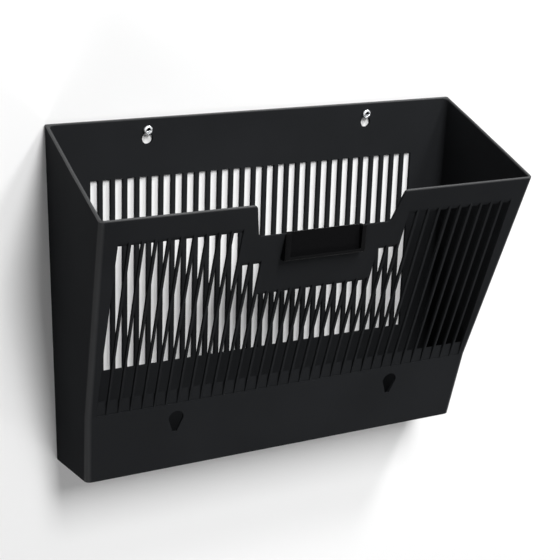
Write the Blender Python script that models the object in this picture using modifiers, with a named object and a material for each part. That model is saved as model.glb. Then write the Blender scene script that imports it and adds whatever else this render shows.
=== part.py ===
"""Wall letter tray: a moulded pocket with a slotted front, hung on two screws.

X runs across the tray, +Y points into the wall and +Z points up. The origin is on the tray's
back face, midway between the two screws that it hangs on. Run it in Blender 4.5.
"""

import math

import bmesh
import bpy
from mathutils import Matrix, Vector

# Tray body, heights measured up from the underside of its floor
BACK_WIDTH_TOP = 0.3606
BACK_WIDTH_BOTTOM = 0.3490
BACK_HEIGHT = 0.2718
FRONT_WIDTH_TOP = 0.3692
FRONT_WIDTH_BOTTOM = 0.3385
FRONT_HEIGHT = 0.2282
RIM_DEPTH = 0.1202
KINK_DEPTH = 0.0632
KINK_HEIGHT = 0.0594
BASE_DEPTH = 0.0513
WALL = 0.0024
FLOOR = 0.0026
FRONT_CORNER_RADIUS = 0.0042
BACK_CORNER_RADIUS = 0.0010
POCKET_BACK_RADIUS = 0.0045
CORNER_STEPS = 5
SIDE_SECTIONS = 6

# Front grille: one bar stands on the centre line, slots lie between the bars; the tall slots
# stop a margin below the front rim and the others step down from them
SLOT_PITCH = 0.0100
BAR_WIDTH = 0.0019
CENTRE_SLOTS = 10
STEP_SLOTS = 2
SIDE_SLOTS = 10
SLOT_FOOT_RISE = 0.0006
SLOT_MARGIN_ABOVE = 0.0180
UPPER_STEP = 0.0285
LOWER_STEP = 0.0275
SLOT_CEILING_DROP = 0.0041
SLOT_LEDGE = 0.0009
SILL_HEIGHT = 0.0128
GRILLE_FOOT_SHARE = 0.982

# Grille in the back panel, between the kink's height and the keyholes
BACK_SLOT_COUNT = 29
BACK_SLOT_PITCH = 0.01015
BACK_SLOT_WIDTH = 0.0063
BACK_MARGIN_BELOW = 0.0106
BACK_MARGIN_ABOVE = 0.0256

# Hand notch in the front rim
NOTCH_TOP_WIDTH = 0.1270
NOTCH_BOTTOM_WIDTH = 0.1140
NOTCH_DROP = 0.0264
NOTCH_BOTTOM_RADIUS = 0.0038
NOTCH_TOP_RADIUS = 0.0035

# Keyholes in the back panel, round hole below and neck above, hung from the back's top edge
KEYHOLE_SPACING = 0.1968
KEYHOLE_HOLE_RADIUS = 0.0044
KEYHOLE_NECK_RADIUS = 0.00235
KEYHOLE_DROP = 0.0072
KEYHOLE_LENGTH = 0.0133

# Keyholes in the front band that carry a second tray, round hole above, below the kink
LINK_HOLE_RADIUS = 0.0062
LINK_NECK_RADIUS = 0.0027
LINK_DROP = 0.0068
LINK_LENGTH = 0.0191

# Label holder, dropped into a cut-out under the notch, and the card in it
LABEL_WIDTH = 0.0704
LABEL_DROP = 0.0218
LABEL_PROUD = 0.0014
LABEL_DRAFT = 0.0014
LABEL_WINDOW_WIDTH = 0.0616
LABEL_BORDER = 0.0031
LABEL_RECESS = 0.0050
LABEL_WALL = 0.0012
CARD_GRIP = 0.0014
CARD_THICKNESS = 0.0008

# Wall screws and plugs
SCREW_SHANK_RADIUS = 0.00195
SCREW_HEAD_RADIUS = 0.0038
SCREW_HEAD = 0.0022
SCREW_REACH = 0.0300
SCREW_TIP = 0.0045
DRIVE_WIDTH = 0.0008
DRIVE_LENGTH = 0.0040
DRIVE_DEPTH = 0.0012
PLUG_LENGTH = 0.0320
PLUG_RADIUS = 0.0034
PLUG_RIB = 0.0004
PLUG_RIBS = 6
PLUG_FLANGE_RADIUS = 0.0048
PLUG_FLANGE = 0.0009
RIB_RISE_SHARE = 0.7
TURN_STEPS = 20

GAP = 0.0003
OVERRUN = 0.0200
MERGE = 0.00002

BAND_LEAN = math.atan((KINK_DEPTH - BASE_DEPTH) / KINK_HEIGHT)
PANEL_LEAN = math.atan((RIM_DEPTH - KINK_DEPTH) / (FRONT_HEIGHT - KINK_HEIGHT))
KEYHOLE_NECK_TOP = BACK_HEIGHT - KEYHOLE_DROP
KEYHOLE_HOLE_BOTTOM = KEYHOLE_NECK_TOP - KEYHOLE_LENGTH
HANG_HEIGHT = KEYHOLE_NECK_TOP - GAP - SCREW_SHANK_RADIUS
LINK_TOP = KINK_HEIGHT - LINK_DROP
LINK_BOTTOM = LINK_TOP - LINK_LENGTH
NOTCH_BOTTOM_HEIGHT = FRONT_HEIGHT - NOTCH_DROP
LABEL_BOTTOM_HEIGHT = NOTCH_BOTTOM_HEIGHT - LABEL_DROP
SLOT_BOTTOM_HEIGHT = KINK_HEIGHT + SLOT_FOOT_RISE
SIDE_SLOT_TOP = FRONT_HEIGHT - SLOT_MARGIN_ABOVE
STEP_SLOT_TOP = SIDE_SLOT_TOP - UPPER_STEP
CENTRE_SLOT_TOP = STEP_SLOT_TOP - LOWER_STEP
BACK_SLOT_BOTTOM = KINK_HEIGHT + BACK_MARGIN_BELOW
BACK_SLOT_TOP = KEYHOLE_HOLE_BOTTOM - BACK_MARGIN_ABOVE
SLOT_COUNT = CENTRE_SLOTS + 2 * (STEP_SLOTS + SIDE_SLOTS)


def band_depth(height):
    """Depth of the lower band's outer plane at a height."""
    return BASE_DEPTH + height * math.tan(BAND_LEAN)


def panel_depth(height):
    """Depth of the upper front's outer plane at a height."""
    return KINK_DEPTH + (height - KINK_HEIGHT) * math.tan(PANEL_LEAN)


def back_half(height):
    """Half the outer width along the wall at a height."""
    share = height / BACK_HEIGHT
    return (BACK_WIDTH_BOTTOM + (BACK_WIDTH_TOP - BACK_WIDTH_BOTTOM) * share) / 2


def front_half(height):
    """Half the outer width along the front at a height."""
    share = height / FRONT_HEIGHT
    return (FRONT_WIDTH_BOTTOM + (FRONT_WIDTH_TOP - FRONT_WIDTH_BOTTOM) * share) / 2


def new_material(name, colour, roughness, metallic=0.0):
    """A plain Principled material."""
    material = bpy.data.materials.new(name)
    material.use_nodes = True
    shader = material.node_tree.nodes["Principled BSDF"]
    shader.inputs["Base Color"].default_value = (*colour, 1.0)
    shader.inputs["Roughness"].default_value = roughness
    shader.inputs["Metallic"].default_value = metallic
    return material


def add_object(name, mesh, collection, material=None):
    """Put a mesh in the scene, with its place measured from the hanging line."""
    made = bpy.data.objects.new(name, mesh)
    collection.objects.link(made)
    made.location.z = -HANG_HEIGHT
    if material:
        mesh.materials.append(material)
    return made


def as_cutter(cutter):
    """Keep a cutting shape out of the render and show it as wires."""
    cutter.hide_render = True
    cutter.display_type = "WIRE"
    return cutter


def cut(target, cutter):
    """Take a cutter's shape out of a solid."""
    modifier = target.modifiers.new(cutter.name, "BOOLEAN")
    modifier.operation = "DIFFERENCE"
    modifier.object = cutter
    modifier.solver = "EXACT"
    return modifier


def join(target, addition):
    """Weld another shape to a solid."""
    modifier = cut(target, addition)
    modifier.operation = "UNION"
    return modifier


def finish_mesh(name, shape):
    """Turn a bmesh into a mesh with its faces pointing out."""
    bmesh.ops.recalc_face_normals(shape, faces=shape.faces)
    mesh = bpy.data.meshes.new(name)
    shape.to_mesh(mesh)
    shape.free()
    return mesh


def smooth(mesh, angle=math.radians(35)):
    """Shade a mesh smooth and keep its real edges sharp."""
    mesh.shade_smooth()
    mesh.set_sharp_from_angle(angle=angle)


def arc(centre, radius, start, end, steps):
    """Points of a circular arc, both ends included."""
    angles = [start + (end - start) * step / steps for step in range(steps + 1)]
    return [(centre[0] + radius * math.cos(a), centre[1] + radius * math.sin(a)) for a in angles]


def rounded_outline(corners, steps=CORNER_STEPS):
    """Round each (x, y, radius) corner of a convex or notched outline."""
    points = []
    for index, (x, y, radius) in enumerate(corners):
        corner = Vector((x, y))
        before = (Vector(corners[index - 1][:2]) - corner).normalized()
        after = (Vector(corners[(index + 1) % len(corners)][:2]) - corner).normalized()
        if radius == 0:
            points.append((x, y))
            continue
        half = before.angle(after) / 2
        centre = corner + (before + after).normalized() * (radius / math.sin(half))
        first = corner + before * (radius / math.tan(half)) - centre
        last = corner + after * (radius / math.tan(half)) - centre
        turn = first.angle_signed(last)
        start = math.atan2(first.y, first.x)
        points += arc(centre, radius, start, start - turn, steps)
    return points


def loft(name, sections):
    """A closed solid through flat outlines, each given as (height, points)."""
    shape = bmesh.new()
    rings = [[shape.verts.new((x, y, height)) for x, y in points] for height, points in sections]
    for lower, upper in zip(rings, rings[1:]):
        for index in range(len(lower)):
            after = (index + 1) % len(lower)
            shape.faces.new((lower[index], lower[after], upper[after], upper[index]))
    shape.faces.new(rings[0][::-1])
    shape.faces.new(rings[-1])
    return finish_mesh(name, shape)


def prism(shape, outline, place, low, high):
    """Add a straight prism: place(u, v, side) puts each outline point at one of its two ends."""
    ends = [[shape.verts.new(place(u, v, side)) for u, v in outline] for side in (low, high)]
    count = len(outline)
    for index in range(count):
        after = (index + 1) % count
        shape.faces.new((ends[0][index], ends[0][after], ends[1][after], ends[1][index]))
    shape.faces.new(ends[0][::-1])
    shape.faces.new(ends[1])


def tray_section(height, front, inset, back_radius, front_radius):
    """The tray's outline at a height, drawn in by a wall's thickness."""
    rear = back_half(height) - inset
    fore = front_half(height) - inset
    return rounded_outline([
        (-rear, -inset, back_radius),
        (-fore, -front, front_radius),
        (fore, -front, front_radius),
        (rear, -inset, back_radius),
    ])


def section_heights(low, kink, high):
    """Heights to draw the tray's outline at: its foot, its kink and several above, because the
    side walls twist a little on their way up."""
    rise = (high - kink) / SIDE_SECTIONS
    return [low, kink] + [kink + rise * step for step in range(1, SIDE_SECTIONS + 1)]


def body_mesh():
    """The tray's outer shape, solid, with the front carried up to the back's height."""
    sections = []
    for height in section_heights(0, KINK_HEIGHT, BACK_HEIGHT):
        depth = band_depth(height) if height < KINK_HEIGHT else panel_depth(height)
        outline = tray_section(height, depth, 0, BACK_CORNER_RADIUS, FRONT_CORNER_RADIUS)
        sections.append((height, outline))
    return loft("tray_shell", sections)


def pocket_mesh():
    """The hollow for papers, one wall's thickness inside the outer shape."""
    middle = (BAND_LEAN + PANEL_LEAN) / 2
    inner_kink = KINK_HEIGHT + WALL * math.sin(middle) / math.cos((PANEL_LEAN - BAND_LEAN) / 2)
    sections = []
    for height in section_heights(FLOOR, inner_kink, BACK_HEIGHT):
        if height > inner_kink:
            depth = panel_depth(height) - WALL / math.cos(PANEL_LEAN)
        else:
            depth = band_depth(height) - WALL / math.cos(BAND_LEAN)
        outline = tray_section(height, depth, WALL, POCKET_BACK_RADIUS, FRONT_CORNER_RADIUS - WALL)
        sections.append((height, outline))
    return loft("pocket", sections + [(BACK_HEIGHT + OVERRUN, sections[-1][1])])


def rim_mesh():
    """What is cut away above the sloping side rims and the level front rim."""
    far = panel_depth(BACK_HEIGHT) + OVERRUN
    high = BACK_HEIGHT + OVERRUN
    level = RIM_DEPTH - WALL / math.cos(PANEL_LEAN)
    outline = [(-WALL, BACK_HEIGHT), (-WALL, high), (-far, high), (-far, FRONT_HEIGHT),
               (-level, FRONT_HEIGHT)]
    reach = FRONT_WIDTH_TOP / 2 + OVERRUN
    shape = bmesh.new()
    prism(shape, outline, lambda y, z, x: (x, y, z), -reach, reach)
    return finish_mesh("rim_cut", shape)


def notch_mesh():
    """The hand notch: a shallow trapezium with rounded corners, cut through the front."""
    half_low = NOTCH_BOTTOM_WIDTH / 2
    half_top = NOTCH_TOP_WIDTH / 2
    high = FRONT_HEIGHT + OVERRUN
    wide = half_top + OVERRUN
    outline = rounded_outline([
        (-half_low, NOTCH_BOTTOM_HEIGHT, NOTCH_BOTTOM_RADIUS),
        (half_low, NOTCH_BOTTOM_HEIGHT, NOTCH_BOTTOM_RADIUS),
        (half_top, FRONT_HEIGHT, NOTCH_TOP_RADIUS),
        (wide, FRONT_HEIGHT, 0), (wide, high, 0), (-wide, high, 0), (-wide, FRONT_HEIGHT, 0),
        (-half_top, FRONT_HEIGHT, NOTCH_TOP_RADIUS),
    ])
    shape = bmesh.new()
    near = panel_depth(NOTCH_BOTTOM_HEIGHT) - OVERRUN
    far = panel_depth(FRONT_HEIGHT) + OVERRUN
    prism(shape, outline, lambda x, z, y: (x, y, z), -far, -near)
    return finish_mesh("notch_cut", shape)


def slot_top(index):
    """Height of a front slot's top: low in the middle, one step up, then high at the sides."""
    from_side = min(index, SLOT_COUNT - 1 - index)
    if from_side < SIDE_SLOTS:
        return SIDE_SLOT_TOP
    if from_side < SIDE_SLOTS + STEP_SLOTS:
        return STEP_SLOT_TOP
    return CENTRE_SLOT_TOP


def grille_mesh():
    """Every slot of the front grille, with its long sill and its sloping ceiling."""
    shape = bmesh.new()
    panel_inset = WALL / math.cos(PANEL_LEAN)
    sill_start = (-(panel_depth(SLOT_BOTTOM_HEIGHT) - SLOT_LEDGE), SLOT_BOTTOM_HEIGHT)
    sill_top = SLOT_BOTTOM_HEIGHT + SILL_HEIGHT
    sill_end = (-(panel_depth(sill_top) - panel_inset), sill_top)
    sill = Vector(sill_end) - Vector(sill_start)
    sill_past = Vector(sill_end) + sill * (OVERRUN / sill.length)
    front = -(panel_depth(SLOT_BOTTOM_HEIGHT) + OVERRUN)
    for index in range(SLOT_COUNT):
        top = slot_top(index)
        outer = Vector((-panel_depth(top), top))
        inner_height = top - SLOT_CEILING_DROP
        inner = Vector((-(panel_depth(inner_height) - panel_inset), inner_height))
        ceiling = (inner - outer).normalized() * OVERRUN
        outline = [(front, SLOT_BOTTOM_HEIGHT), sill_start, tuple(sill_past),
                   tuple(inner + ceiling), tuple(outer - ceiling)]
        left = (index - SLOT_COUNT / 2) * SLOT_PITCH + BAR_WIDTH / 2
        right = left + SLOT_PITCH - BAR_WIDTH
        prism(shape, outline, fanned, left, right)
    return finish_mesh("grille_cut", shape)


def fanned(y, z, x):
    """Draw a slot's side in towards the centre line as it runs down, as the side walls do."""
    share = (SIDE_SLOT_TOP - z) / (SIDE_SLOT_TOP - SLOT_BOTTOM_HEIGHT)
    return (x * (1 - (1 - GRILLE_FOOT_SHARE) * share), y, z)


def back_grille_mesh():
    """Every slot of the back panel's grille."""
    shape = bmesh.new()
    outline = [(-OVERRUN, BACK_SLOT_BOTTOM), (OVERRUN, BACK_SLOT_BOTTOM),
               (OVERRUN, BACK_SLOT_TOP), (-OVERRUN, BACK_SLOT_TOP)]
    for index in range(BACK_SLOT_COUNT):
        centre = (index - (BACK_SLOT_COUNT - 1) / 2) * BACK_SLOT_PITCH
        prism(shape, outline, lambda y, z, x: (x, y, z),
              centre - BACK_SLOT_WIDTH / 2, centre + BACK_SLOT_WIDTH / 2)
    return finish_mesh("back_grille_cut", shape)


def keyhole_outline():
    """Back keyhole: a round hole with a straight neck above it."""
    hole = KEYHOLE_HOLE_BOTTOM + KEYHOLE_HOLE_RADIUS
    neck = KEYHOLE_NECK_TOP - KEYHOLE_NECK_RADIUS
    meet = math.asin(KEYHOLE_NECK_RADIUS / KEYHOLE_HOLE_RADIUS)
    upright = math.pi / 2
    around = arc((0, hole), KEYHOLE_HOLE_RADIUS, upright + meet, 5 * upright - meet, 3 * CORNER_STEPS)
    return around + arc((0, neck), KEYHOLE_NECK_RADIUS, 0, math.pi, CORNER_STEPS + 1)


def link_hole_outline():
    """Front keyhole: a pear shape, wide above and narrow below."""
    wide = LINK_TOP - LINK_HOLE_RADIUS
    narrow = LINK_BOTTOM + LINK_NECK_RADIUS
    slant = math.asin((LINK_HOLE_RADIUS - LINK_NECK_RADIUS) / (wide - narrow))
    over = arc((0, wide), LINK_HOLE_RADIUS, -slant, math.pi + slant, 2 * CORNER_STEPS)
    return over + arc((0, narrow), LINK_NECK_RADIUS, math.pi + slant, 2 * math.pi - slant, CORNER_STEPS)


def keyholes_mesh(name, outline, depth):
    """A pair of keyholes, left and right, through the wall at a depth."""
    shape = bmesh.new()
    for side in (-1, 1):
        centre = side * KEYHOLE_SPACING / 2
        prism(shape, outline, lambda x, z, y: (centre + x, y, z), -depth - OVERRUN, -depth + OVERRUN)
    return finish_mesh(name, shape)


def build_shell(parts, cutters, plastic):
    """The tray's one moulding: floor, back, sides, slotted front and lower band."""
    shell = add_object("tray_shell", body_mesh(), parts, plastic)
    link_depth = band_depth((LINK_TOP + LINK_BOTTOM) / 2)
    shapes = [
        ("pocket", pocket_mesh()),
        ("rim_cut", rim_mesh()),
        ("notch_cut", notch_mesh()),
        ("grille_cut", grille_mesh()),
        ("back_grille_cut", back_grille_mesh()),
        ("keyhole_cut", keyholes_mesh("keyhole_cut", keyhole_outline(), 0)),
        ("link_hole_cut", keyholes_mesh("link_hole_cut", link_hole_outline(), link_depth)),
        ("label_seat_cut", label_seat_mesh()),
    ]
    for name, mesh in shapes:
        cut(shell, as_cutter(add_object(name, mesh, cutters)))
    smooth(shell.data)
    return shell


def label_depths():
    """Depths of the label holder: its front at the top, its front at the foot, floor and back."""
    front_top = panel_depth(NOTCH_BOTTOM_HEIGHT) + LABEL_PROUD
    floor = front_top - LABEL_RECESS
    return front_top, front_top - LABEL_DRAFT, floor, floor - LABEL_WALL


def label_seat_mesh():
    """The cut-out under the notch that the label holder's body drops into."""
    back = label_depths()[3]
    sill = KINK_HEIGHT + (back - GAP - KINK_DEPTH) / math.tan(PANEL_LEAN)
    half = LABEL_WINDOW_WIDTH / 2 + CARD_GRIP + LABEL_WALL + GAP
    return box_mesh("label_seat_cut", (-half, -back - OVERRUN, sill),
                    (half, -back + OVERRUN, NOTCH_BOTTOM_HEIGHT + OVERRUN))


def box_mesh(name, low, high):
    """A box between two corners."""
    shape = bmesh.new()
    bmesh.ops.create_cube(shape, size=1)
    size = Vector(high) - Vector(low)
    bmesh.ops.scale(shape, vec=size, verts=shape.verts)
    bmesh.ops.translate(shape, vec=(Vector(low) + Vector(high)) / 2, verts=shape.verts)
    return finish_mesh(name, shape)


def flange_mesh():
    """The label holder's front: upright, where the panel behind it leans."""
    front_top, front_foot, _, _ = label_depths()
    behind = GAP / math.cos(PANEL_LEAN)
    outline = [
        (-front_foot, LABEL_BOTTOM_HEIGHT),
        (-(panel_depth(LABEL_BOTTOM_HEIGHT) + behind), LABEL_BOTTOM_HEIGHT),
        (-(panel_depth(NOTCH_BOTTOM_HEIGHT) + behind), NOTCH_BOTTOM_HEIGHT),
        (-front_top, NOTCH_BOTTOM_HEIGHT),
    ]
    shape = bmesh.new()
    prism(shape, outline, lambda y, z, x: (x, y, z), -LABEL_WIDTH / 2, LABEL_WIDTH / 2)
    return finish_mesh("label_holder", shape)


def build_label_holder(parts, cutters, plastic):
    """The box under the notch that holds a label card: open in front and at the top."""
    holder = add_object("label_holder", flange_mesh(), parts, plastic)
    _, front_foot, floor, back = label_depths()
    window = LABEL_WINDOW_WIDTH / 2
    channel = window + CARD_GRIP
    body = channel + LABEL_WALL
    border = LABEL_BOTTOM_HEIGHT + LABEL_BORDER
    top = NOTCH_BOTTOM_HEIGHT + OVERRUN
    lip = floor + GAP + CARD_THICKNESS + GAP
    inner = box_mesh("label_body", (-body, -front_foot + LABEL_DRAFT, LABEL_BOTTOM_HEIGHT),
                     (body, -back, NOTCH_BOTTOM_HEIGHT))
    join(holder, as_cutter(add_object("label_body", inner, cutters)))
    cuts = [
        box_mesh("label_window_cut", (-window, -floor - OVERRUN, border), (window, -floor, top)),
        box_mesh("card_channel_cut", (-channel, -lip, border - CARD_GRIP), (channel, -floor, top)),
    ]
    for mesh in cuts:
        cut(holder, as_cutter(add_object(mesh.name, mesh, cutters)))
    return holder


def build_card(parts, paper):
    """The blank card that slides up out of the label holder."""
    floor = label_depths()[2]
    half = LABEL_WINDOW_WIDTH / 2 + CARD_GRIP - GAP
    low = LABEL_BOTTOM_HEIGHT + LABEL_BORDER - CARD_GRIP + GAP
    mesh = box_mesh("label_card", (-half, -(floor + GAP + CARD_THICKNESS), low),
                    (half, -(floor + GAP), NOTCH_BOTTOM_HEIGHT))
    return add_object("label_card", mesh, parts, paper)


def turned(name, profile, parts, material, across, out):
    """Turn a profile about an axis square to the wall, out metres in front of the back face."""
    mesh = bpy.data.meshes.new(name)
    closed = profile[0][0] > 0
    edges = [(index, index + 1) for index in range(len(profile) - 1)]
    if closed:
        edges.append((len(profile) - 1, 0))
    mesh.from_pydata([(radius, 0, along) for radius, along in profile], edges, [])
    made = add_object(name, mesh, parts, material)
    made.location = (across, -out, 0)
    made.rotation_euler.x = math.pi / 2
    screw = made.modifiers.new("turn", "SCREW")
    screw.axis = "Z"
    screw.steps = screw.render_steps = TURN_STEPS
    screw.use_merge_vertices = True
    screw.merge_threshold = MERGE
    screw.use_smooth_shade = True
    return made


def screw_profile():
    """Half of a pan-head screw, from the crown of its head down to its point."""
    neck = -GAP
    crown = SCREW_HEAD
    dome = [(SCREW_HEAD_RADIUS * math.sin(a), crown * math.cos(a))
            for a in (math.radians(step) for step in (0, 25, 45, 62, 78))]
    shank_end = -(WALL + SCREW_REACH - SCREW_TIP)
    return dome + [
        (SCREW_HEAD_RADIUS, 0), (SCREW_HEAD_RADIUS - MERGE, neck + GAP / 2),
        (SCREW_SHANK_RADIUS, neck + GAP / 2), (SCREW_SHANK_RADIUS, shank_end),
        (0, shank_end - SCREW_TIP),
    ]


def plug_profile():
    """Half of a ribbed wall plug: flange, ribs, mouth of the bore and the bore."""
    bore = SCREW_SHANK_RADIUS + GAP
    points = [(PLUG_FLANGE_RADIUS, 0), (PLUG_FLANGE_RADIUS, -PLUG_FLANGE)]
    pitch = (PLUG_LENGTH - 2 * PLUG_FLANGE) / PLUG_RIBS
    for rib in range(PLUG_RIBS):
        start = -(PLUG_FLANGE + rib * pitch)
        points.append((PLUG_RADIUS - PLUG_RIB, start))
        points.append((PLUG_RADIUS, start - pitch * RIB_RISE_SHARE))
    points += [(PLUG_RADIUS - PLUG_RIB, -PLUG_LENGTH), (bore, -PLUG_LENGTH), (bore, 0)]
    return points


def drive_mesh():
    """Cross recess for a screwdriver, both screws at once."""
    shape = bmesh.new()
    face = WALL + GAP + SCREW_HEAD
    for side in (-1, 1):
        for size in ((DRIVE_WIDTH, DRIVE_LENGTH), (DRIVE_LENGTH, DRIVE_WIDTH)):
            place = Matrix.Translation((side * KEYHOLE_SPACING / 2, -face, HANG_HEIGHT))
            scale = Matrix.Diagonal((size[0], 2 * DRIVE_DEPTH, size[1], 1))
            bmesh.ops.create_cube(shape, size=1, matrix=place @ scale)
    return finish_mesh("drive_cut", shape)


def build_fixings(parts, cutters, steel, nylon):
    """The two screws that the tray hangs on, each in its wall plug."""
    drive = as_cutter(add_object("drive_cut", drive_mesh(), cutters))
    for side, word in ((-1, "left"), (1, "right")):
        across = side * KEYHOLE_SPACING / 2
        screw = turned("wall_screw_" + word, screw_profile(), parts, steel, across, WALL + GAP)
        recess = cut(screw, drive)
        recess.use_self = True
        turned("wall_plug_" + word, plug_profile(), parts, nylon, across, -GAP)


def main():
    """Model the tray, its label holder and card, and what it hangs on."""
    for old in list(bpy.data.objects):
        bpy.data.objects.remove(old, do_unlink=True)
    parts = bpy.data.collections.new("wall_letter_tray")
    cutters = bpy.data.collections.new("cutters")
    for collection in (parts, cutters):
        bpy.context.scene.collection.children.link(collection)
    black = new_material("black_polystyrene", (0.012, 0.012, 0.013), 0.32)
    paper = new_material("charcoal_card", (0.010, 0.010, 0.011), 0.60)
    steel = new_material("zinc_plated_steel", (0.72, 0.73, 0.74), 0.30, 1.0)
    nylon = new_material("grey_nylon", (0.46, 0.47, 0.48), 0.55)
    build_shell(parts, cutters, black)
    build_label_holder(parts, cutters, black)
    build_card(parts, paper)
    build_fixings(parts, cutters, steel, nylon)


main()
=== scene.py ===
import logging
import math
from contextlib import contextmanager
from dataclasses import dataclass
from enum import Enum
from typing import Callable, Iterator

import bmesh
import bpy
from mathutils import Matrix, Vector


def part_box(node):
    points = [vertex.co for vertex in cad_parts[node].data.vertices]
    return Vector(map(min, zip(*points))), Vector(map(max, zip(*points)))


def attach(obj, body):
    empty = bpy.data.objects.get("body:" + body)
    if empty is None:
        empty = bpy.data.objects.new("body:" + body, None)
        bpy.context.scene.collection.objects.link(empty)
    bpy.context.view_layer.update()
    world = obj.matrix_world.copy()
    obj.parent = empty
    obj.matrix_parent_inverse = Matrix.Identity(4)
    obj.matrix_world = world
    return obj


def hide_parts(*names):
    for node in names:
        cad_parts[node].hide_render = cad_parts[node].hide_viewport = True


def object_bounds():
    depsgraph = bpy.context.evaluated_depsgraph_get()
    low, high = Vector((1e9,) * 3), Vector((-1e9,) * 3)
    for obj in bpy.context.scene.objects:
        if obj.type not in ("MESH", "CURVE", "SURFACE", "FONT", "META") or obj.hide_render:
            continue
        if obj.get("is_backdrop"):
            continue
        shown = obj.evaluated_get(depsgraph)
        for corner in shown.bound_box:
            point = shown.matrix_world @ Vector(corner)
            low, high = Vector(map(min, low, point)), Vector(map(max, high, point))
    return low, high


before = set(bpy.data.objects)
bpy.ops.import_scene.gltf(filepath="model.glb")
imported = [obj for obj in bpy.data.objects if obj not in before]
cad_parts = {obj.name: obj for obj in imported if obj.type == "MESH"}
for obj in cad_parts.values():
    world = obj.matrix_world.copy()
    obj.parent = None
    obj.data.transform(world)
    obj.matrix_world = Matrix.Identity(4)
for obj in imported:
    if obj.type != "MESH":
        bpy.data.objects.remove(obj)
CAD_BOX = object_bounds()

LOG = logging.getLogger("wall_letter_tray")
TRAY_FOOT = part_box("tray_shell")[0].z
# In metres: how far a tool runs past what it cuts, the clearance between pieces, and a sliver's width.
OVERRUN = 0.020
GAP = 0.0003
SLIVER = 0.00004
SMOOTH_ANGLE = math.radians(34)
FLAT_ANGLE = math.radians(0.08)
# How near a face's normal is to an axis that it faces, and the span that a noise pattern fills.
FACING = 0.9
NOISE_SPAN = (0.3, 0.7)
SPECULAR = "Specular IOR Level"
WHITE = (1.0, 1.0, 1.0, 1.0)

Piece = bpy.types.Object
Tree = bpy.types.NodeTree
Socket = bpy.types.NodeSocket
Inputs = dict[str | int, object]
Pair = tuple[float, float]
Triple = tuple[float, float, float]
Test = Callable[..., bool]
PointTest = Callable[[Vector], bool]
EdgeTest = Callable[[Vector, Vector], bool]


class Body(Enum):
    """The bodies that pieces ride on."""

    FIXINGS = "wall_fixings"
    TRAY = "tray"
    CARD = "card"


class Side(Enum):
    """The two sides of the tray, as seen from the room."""

    LEFT = -1
    RIGHT = 1

    @property
    def word(self) -> str:
        """The side's name in a piece's name."""
        return self.name.lower()


class Part(Enum):
    """The parts of a mesh that are selected in edit mode."""

    POINT = "VERT"
    EDGE = "EDGE"
    FACE = "FACE"

    def select(self, piece: Piece, test: Test) -> None:
        """Select the parts that pass a test, on a piece in edit mode.

        Args:
            piece: The piece.
            test: A test of a point's place, an edge's two ends, or a face's centre and normal.
        """
        shape = bmesh.from_edit_mesh(piece.data)
        if self is Part.POINT:
            for point in shape.verts:
                point.select_set(test(point.co))
            shape.select_flush_mode()
        elif self is Part.EDGE:
            for edge in shape.edges:
                edge.select_set(test(edge.verts[0].co, edge.verts[1].co))
        else:
            for face in shape.faces:
                face.select_set(test(face.calc_center_median(), face.normal))
        bmesh.update_edit_mesh(piece.data)


def feed(tree: Tree, node: bpy.types.Node, inputs: Inputs) -> bpy.types.Node:
    """Give a node's inputs their values, or link what feeds them.

    Args:
        tree: The tree that the node is in.
        node: The node.
        inputs: What each input gets, by its name or number: a plain value or another node's output.

    Returns:
        The same node.
    """
    for place, term in inputs.items():
        if isinstance(term, Socket):
            tree.links.new(term, node.inputs[place])
        else:
            node.inputs[place].default_value = term
    return node


def add_node(tree: Tree, kind: str, inputs: Inputs) -> bpy.types.Node:
    """Add a shader node of a kind, and feed its inputs."""
    return feed(tree, tree.nodes.new("ShaderNode" + kind), inputs)


def new_material(name: str) -> tuple[bpy.types.Material, Tree, bpy.types.Node]:
    """Make a material with a Principled shader.

    Args:
        name: The material's name.

    Returns:
        The material, its node tree and its shader node.
    """
    material = bpy.data.materials.new(name)
    material.use_nodes = True
    return material, material.node_tree, material.node_tree.nodes["Principled BSDF"]


def blend(tree: Tree, source: Socket, dark: Triple, light: Triple, span: Pair) -> Socket:
    """Turn a pattern into a blend of two colours.

    Args:
        tree: The tree that gets the node.
        source: The pattern.
        dark: Colour of the pattern's low parts.
        light: Colour of its high parts.
        span: Where the blend starts and ends.

    Returns:
        The colour.
    """
    ramp = add_node(tree, "ValToRGB", {"Fac": source})
    for stop, place, colour in zip(ramp.color_ramp.elements, span, (dark, light)):
        stop.position = place
        stop.color = (*colour, 1.0)
    return ramp.outputs["Color"]


def rescale(tree: Tree, source: Socket, span: Pair, levels: Pair) -> Socket:
    """Turn a value that runs over a span into one that runs between two levels, and stays there.

    Args:
        tree: The tree that gets the node.
        source: The value.
        span: Where it starts and ends.
        levels: What it becomes at the start and at the end.

    Returns:
        The new value.
    """
    limits = {"Value": source, "From Min": span[0], "From Max": span[1],
              "To Min": levels[0], "To Max": levels[1]}
    return add_node(tree, "MapRange", limits).outputs["Result"]


def figure(tree: Tree, operation: str, *terms: float | Socket) -> Socket:
    """Work out a value in a Math node.

    Args:
        tree: The tree that gets the node.
        operation: The node's operation.
        terms: What goes into it, numbers or other nodes' outputs.

    Returns:
        The value.
    """
    node = add_node(tree, "Math", dict(enumerate(terms)))
    node.operation = operation
    return node.outputs["Value"]


@dataclass(frozen=True)
class Pattern:
    """A noise pattern on Object coordinates: its scale, its finer layers and its scale along each axis."""

    scale: float
    detail: float
    stretch: Triple = (1.0, 1.0, 1.0)

    def build(self, tree: Tree) -> Socket:
        """Make the pattern.

        Args:
            tree: The tree that gets its nodes.

        Returns:
            The pattern's output.
        """
        place = add_node(tree, "TexCoord", {}).outputs["Object"]
        drawn = add_node(tree, "Mapping", {"Vector": place, "Scale": self.stretch}).outputs["Vector"]
        texture = add_node(tree, "TexNoise", {"Vector": drawn, "Scale": self.scale, "Detail": self.detail})
        return texture.outputs["Fac"]


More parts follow.
